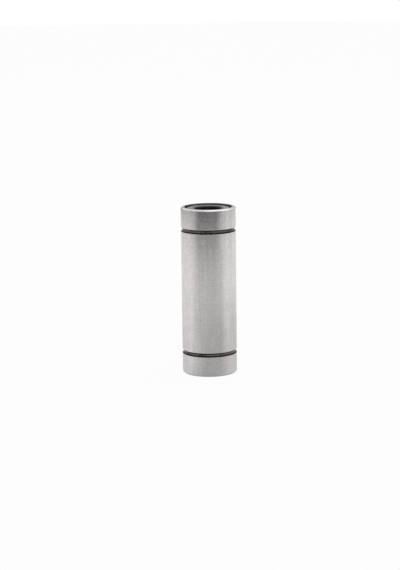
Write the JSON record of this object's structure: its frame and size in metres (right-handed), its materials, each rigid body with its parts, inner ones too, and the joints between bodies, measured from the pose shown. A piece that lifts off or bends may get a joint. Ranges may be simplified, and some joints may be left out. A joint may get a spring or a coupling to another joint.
{
  "type": "long linear bearing",
  "caption": "Long plain-cylinder linear ball bearing with rubber end seals, ring grooves outside and a through bore that runs on a round shaft.",
  "frame": {"origin": "centre of the lower end face, on the surface that the bearing stands on", "axes": "+Z along the shaft axis towards the upper end; +X through the first ball circuit"},
  "size_m": [0.015, 0.015, 0.046],
  "materials": {
    "ground_steel": "ground bearing steel, dark in the turned grooves",
    "ring_steel": "stamped spring steel",
    "ball_steel": "polished bearing steel",
    "retainer_resin": "moulded black resin",
    "seal_rubber": "satin black rubber"
  },
  "bodies": {
    "housing": {"outer_cylinder": "ground_steel", "lower_ball_retainer": "retainer_resin", "lower_end_ring": "ring_steel", "lower_end_seal": "seal_rubber", "upper_ball_retainer": "retainer_resin", "upper_end_ring": "ring_steel", "upper_end_seal": "seal_rubber"},
    "lower_circuit_1_loaded_row": {"lower_circuit_1_loaded_balls": "ball_steel"},
    "lower_circuit_1_return_row": {"lower_circuit_1_return_balls": "ball_steel"},
    "lower_circuit_1_top_turn": {"lower_circuit_1_top_turn_balls": "ball_steel"},
    "lower_circuit_1_bottom_turn": {"lower_circuit_1_bottom_turn_balls": "ball_steel"},
    "lower_circuit_2_loaded_row": {"lower_circuit_2_loaded_balls": "ball_steel"},
    "lower_circuit_2_return_row": {"lower_circuit_2_return_balls": "ball_steel"},
    "lower_circuit_2_top_turn": {"lower_circuit_2_top_turn_balls": "ball_steel"},
    "lower_circuit_2_bottom_turn": {"lower_circuit_2_bottom_turn_balls": "ball_steel"},
    "lower_circuit_3_loaded_row": {"lower_circuit_3_loaded_balls": "ball_steel"},
    "lower_circuit_3_return_row": {"lower_circuit_3_return_balls": "ball_steel"},
    "lower_circuit_3_top_turn": {"lower_circuit_3_top_turn_balls": "ball_steel"},
    "lower_circuit_3_bottom_turn": {"lower_circuit_3_bottom_turn_balls": "ball_steel"},
    "lower_circuit_4_loaded_row": {"lower_circuit_4_loaded_balls": "ball_steel"},
    "lower_circuit_4_return_row": {"lower_circuit_4_return_balls": "ball_steel"},
    "lower_circuit_4_top_turn": {"lower_circuit_4_top_turn_balls": "ball_steel"},
    "lower_circuit_4_bottom_turn": {"lower_circuit_4_bottom_turn_balls": "ball_steel"},
    "upper_circuit_1_loaded_row": {"upper_circuit_1_loaded_balls": "ball_steel"},
    "upper_circuit_1_return_row": {"upper_circuit_1_return_balls": "ball_steel"},
    "upper_circuit_1_top_turn": {"upper_circuit_1_top_turn_balls": "ball_steel"},
    "upper_circuit_1_bottom_turn": {"upper_circuit_1_bottom_turn_balls": "ball_steel"},
    "upper_circuit_2_loaded_row": {"upper_circuit_2_loaded_balls": "ball_steel"},
    "upper_circuit_2_return_row": {"upper_circuit_2_return_balls": "ball_steel"},
    "upper_circuit_2_top_turn": {"upper_circuit_2_top_turn_balls": "ball_steel"},
    "upper_circuit_2_bottom_turn": {"upper_circuit_2_bottom_turn_balls": "ball_steel"},
    "upper_circuit_3_loaded_row": {"upper_circuit_3_loaded_balls": "ball_steel"},
    "upper_circuit_3_return_row": {"upper_circuit_3_return_balls": "ball_steel"},
    "upper_circuit_3_top_turn": {"upper_circuit_3_top_turn_balls": "ball_steel"},
    "upper_circuit_3_bottom_turn": {"upper_circuit_3_bottom_turn_balls": "ball_steel"},
    "upper_circuit_4_loaded_row": {"upper_circuit_4_loaded_balls": "ball_steel"},
    "upper_circuit_4_return_row": {"upper_circuit_4_return_balls": "ball_steel"},
    "upper_circuit_4_top_turn": {"upper_circuit_4_top_turn_balls": "ball_steel"},
    "upper_circuit_4_bottom_turn": {"upper_circuit_4_bottom_turn_balls": "ball_steel"}
  },
  "joints": [
    {"name": "lower_circuit_1_loaded_slide", "type": "slide", "parent": "housing", "child": "lower_circuit_1_loaded_row", "axis": [0, 0, 1], "range_m": [-0.0009, 0.0009]},
    {"name": "lower_circuit_1_return_slide", "type": "slide", "parent": "housing", "child": "lower_circuit_1_return_row", "axis": [0, 0, 1], "range_m": [-0.0009, 0.0009]},
    {"name": "lower_circuit_1_top_turn_hinge", "type": "hinge", "parent": "housing", "child": "lower_circuit_1_top_turn", "pos_m": [0.00479, 0.00115, 0.01992], "axis": [-1, 0, 0], "range_deg": [-45, 45]},
    {"name": "lower_circuit_1_bottom_turn_hinge", "type": "hinge", "parent": "housing", "child": "lower_circuit_1_bottom_turn", "pos_m": [0.00479, 0.00115, 0.00545], "axis": [-1, 0, 0], "range_deg": [-45, 45]},
    {"name": "lower_circuit_2_loaded_slide", "type": "slide", "parent": "housing", "child": "lower_circuit_2_loaded_row", "axis": [0, 0, 1], "range_m": [-0.0009, 0.0009]},
    {"name": "lower_circuit_2_return_slide", "type": "slide", "parent": "housing", "child": "lower_circuit_2_return_row", "axis": [0, 0, 1], "range_m": [-0.0009, 0.0009]},
    {"name": "lower_circuit_2_top_turn_hinge", "type": "hinge", "parent": "housing", "child": "lower_circuit_2_top_turn", "pos_m": [-0.00115, 0.00479, 0.01992], "axis": [0, -1, 0], "range_deg": [-45, 45]},
    {"name": "lower_circuit_2_bottom_turn_hinge", "type": "hinge", "parent": "housing", "child": "lower_circuit_2_bottom_turn", "pos_m": [-0.00115, 0.00479, 0.00545], "axis": [0, -1, 0], "range_deg": [-45, 45]},
    {"name": "lower_circuit_3_loaded_slide", "type": "slide", "parent": "housing", "child": "lower_circuit_3_loaded_row", "axis": [0, 0, 1], "range_m": [-0.0009, 0.0009]},
    {"name": "lower_circuit_3_return_slide", "type": "slide", "parent": "housing", "child": "lower_circuit_3_return_row", "axis": [0, 0, 1], "range_m": [-0.0009, 0.0009]},
    {"name": "lower_circuit_3_top_turn_hinge", "type": "hinge", "parent": "housing", "child": "lower_circuit_3_top_turn", "pos_m": [-0.00479, -0.00115, 0.01992], "axis": [1, 0, 0], "range_deg": [-45, 45]},
    {"name": "lower_circuit_3_bottom_turn_hinge", "type": "hinge", "parent": "housing", "child": "lower_circuit_3_bottom_turn", "pos_m": [-0.00479, -0.00115, 0.00545], "axis": [1, 0, 0], "range_deg": [-45, 45]},
    {"name": "lower_circuit_4_loaded_slide", "type": "slide", "parent": "housing", "child": "lower_circuit_4_loaded_row", "axis": [0, 0, 1], "range_m": [-0.0009, 0.0009]},
    {"name": "lower_circuit_4_return_slide", "type": "slide", "parent": "housing", "child": "lower_circuit_4_return_row", "axis": [0, 0, 1], "range_m": [-0.0009, 0.0009]},
    {"name": "lower_circuit_4_top_turn_hinge", "type": "hinge", "parent": "housing", "child": "lower_circuit_4_top_turn", "pos_m": [0.00115, -0.00479, 0.01992], "axis": [0, 1, 0], "range_deg": [-45, 45]},
    {"name": "lower_circuit_4_bottom_turn_hinge", "type": "hinge", "parent": "housing", "child": "lower_circuit_4_bottom_turn", "pos_m": [0.00115, -0.00479, 0.00545], "axis": [0, 1, 0], "range_deg": [-45, 45]},
    {"name": "upper_circuit_1_loaded_slide", "type": "slide", "parent": "housing", "child": "upper_circuit_1_loaded_row", "axis": [0, 0, 1], "range_m": [-0.0009, 0.0009]},
    {"name": "upper_circuit_1_return_slide", "type": "slide", "parent": "housing", "child": "upper_circuit_1_return_row", "axis": [0, 0, 1], "range_m": [-0.0009, 0.0009]},
    {"name": "upper_circuit_1_top_turn_hinge", "type": "hinge", "parent": "housing", "child": "upper_circuit_1_top_turn", "pos_m": [0.00479, 0.00115, 0.04055], "axis": [-1, 0, 0], "range_deg": [-45, 45]},
    {"name": "upper_circuit_1_bottom_turn_hinge", "type": "hinge", "parent": "housing", "child": "upper_circuit_1_bottom_turn", "pos_m": [0.00479, 0.00115, 0.02608], "axis": [-1, 0, 0], "range_deg": [-45, 45]},
    {"name": "upper_circuit_2_loaded_slide", "type": "slide", "parent": "housing", "child": "upper_circuit_2_loaded_row", "axis": [0, 0, 1], "range_m": [-0.0009, 0.0009]},
    {"name": "upper_circuit_2_return_slide", "type": "slide", "parent": "housing", "child": "upper_circuit_2_return_row", "axis": [0, 0, 1], "range_m": [-0.0009, 0.0009]},
    {"name": "upper_circuit_2_top_turn_hinge", "type": "hinge", "parent": "housing", "child": "upper_circuit_2_top_turn", "pos_m": [-0.00115, 0.00479, 0.04055], "axis": [0, -1, 0], "range_deg": [-45, 45]},
    {"name": "upper_circuit_2_bottom_turn_hinge", "type": "hinge", "parent": "housing", "child": "upper_circuit_2_bottom_turn", "pos_m": [-0.00115, 0.00479, 0.02608], "axis": [0, -1, 0], "range_deg": [-45, 45]},
    {"name": "upper_circuit_3_loaded_slide", "type": "slide", "parent": "housing", "child": "upper_circuit_3_loaded_row", "axis": [0, 0, 1], "range_m": [-0.0009, 0.0009]},
    {"name": "upper_circuit_3_return_slide", "type": "slide", "parent": "housing", "child": "upper_circuit_3_return_row", "axis": [0, 0, 1], "range_m": [-0.0009, 0.0009]},
    {"name": "upper_circuit_3_top_turn_hinge", "type": "hinge", "parent": "housing", "child": "upper_circuit_3_top_turn", "pos_m": [-0.00479, -0.00115, 0.04055], "axis": [1, 0, 0], "range_deg": [-45, 45]},
    {"name": "upper_circuit_3_bottom_turn_hinge", "type": "hinge", "parent": "housing", "child": "upper_circuit_3_bottom_turn", "pos_m": [-0.00479, -0.00115, 0.02608], "axis": [1, 0, 0], "range_deg": [-45, 45]},
    {"name": "upper_circuit_4_loaded_slide", "type": "slide", "parent": "housing", "child": "upper_circuit_4_loaded_row", "axis": [0, 0, 1], "range_m": [-0.0009, 0.0009]},
    {"name": "upper_circuit_4_return_slide", "type": "slide", "parent": "housing", "child": "upper_circuit_4_return_row", "axis": [0, 0, 1], "range_m": [-0.0009, 0.0009]},
    {"name": "upper_circuit_4_top_turn_hinge", "type": "hinge", "parent": "housing", "child": "upper_circuit_4_top_turn", "pos_m": [0.00115, -0.00479, 0.04055], "axis": [0, 1, 0], "range_deg": [-45, 45]},
    {"name": "upper_circuit_4_bottom_turn_hinge", "type": "hinge", "parent": "housing", "child": "upper_circuit_4_bottom_turn", "pos_m": [0.00115, -0.00479, 0.02608], "axis": [0, 1, 0], "range_deg": [-45, 45]}
  ],
  "couplings": [
    {"joint": "lower_circuit_1_return_slide", "follows": "lower_circuit_1_loaded_slide", "ratio": -1},
    {"joint": "lower_circuit_1_top_turn_hinge", "follows": "lower_circuit_1_loaded_slide", "rad_per_m": 868.68},
    {"joint": "lower_circuit_1_bottom_turn_hinge", "follows": "lower_circuit_1_loaded_slide", "rad_per_m": 868.68},
    {"joint": "lower_circuit_2_return_slide", "follows": "lower_circuit_2_loaded_slide", "ratio": -1},
    {"joint": "lower_circuit_2_top_turn_hinge", "follows": "lower_circuit_2_loaded_slide", "rad_per_m": 868.68},
    {"joint": "lower_circuit_2_bottom_turn_hinge", "follows": "lower_circuit_2_loaded_slide", "rad_per_m": 868.68},
    {"joint": "lower_circuit_3_return_slide", "follows": "lower_circuit_3_loaded_slide", "ratio": -1},
    {"joint": "lower_circuit_3_top_turn_hinge", "follows": "lower_circuit_3_loaded_slide", "rad_per_m": 868.68},
    {"joint": "lower_circuit_3_bottom_turn_hinge", "follows": "lower_circuit_3_loaded_slide", "rad_per_m": 868.68},
    {"joint": "lower_circuit_4_return_slide", "follows": "lower_circuit_4_loaded_slide", "ratio": -1},
    {"joint": "lower_circuit_4_top_turn_hinge", "follows": "lower_circuit_4_loaded_slide", "rad_per_m": 868.68},
    {"joint": "lower_circuit_4_bottom_turn_hinge", "follows": "lower_circuit_4_loaded_slide", "rad_per_m": 868.68},
    {"joint": "upper_circuit_1_return_slide", "follows": "upper_circuit_1_loaded_slide", "ratio": -1},
    {"joint": "upper_circuit_1_top_turn_hinge", "follows": "upper_circuit_1_loaded_slide", "rad_per_m": 868.68},
    {"joint": "upper_circuit_1_bottom_turn_hinge", "follows": "upper_circuit_1_loaded_slide", "rad_per_m": 868.68},
    {"joint": "upper_circuit_2_return_slide", "follows": "upper_circuit_2_loaded_slide", "ratio": -1},
    {"joint": "upper_circuit_2_top_turn_hinge", "follows": "upper_circuit_2_loaded_slide", "rad_per_m": 868.68},
    {"joint": "upper_circuit_2_bottom_turn_hinge", "follows": "upper_circuit_2_loaded_slide", "rad_per_m": 868.68},
    {"joint": "upper_circuit_3_return_slide", "follows": "upper_circuit_3_loaded_slide", "ratio": -1},
    {"joint": "upper_circuit_3_top_turn_hinge", "follows": "upper_circuit_3_loaded_slide", "rad_per_m": 868.68},
    {"joint": "upper_circuit_3_bottom_turn_hinge", "follows": "upper_circuit_3_loaded_slide", "rad_per_m": 868.68},
    {"joint": "upper_circuit_4_return_slide", "follows": "upper_circuit_4_loaded_slide", "ratio": -1},
    {"joint": "upper_circuit_4_top_turn_hinge", "follows": "upper_circuit_4_loaded_slide", "rad_per_m": 868.68},
    {"joint": "upper_circuit_4_bottom_turn_hinge", "follows": "upper_circuit_4_loaded_slide", "rad_per_m": 868.68}
  ]
}
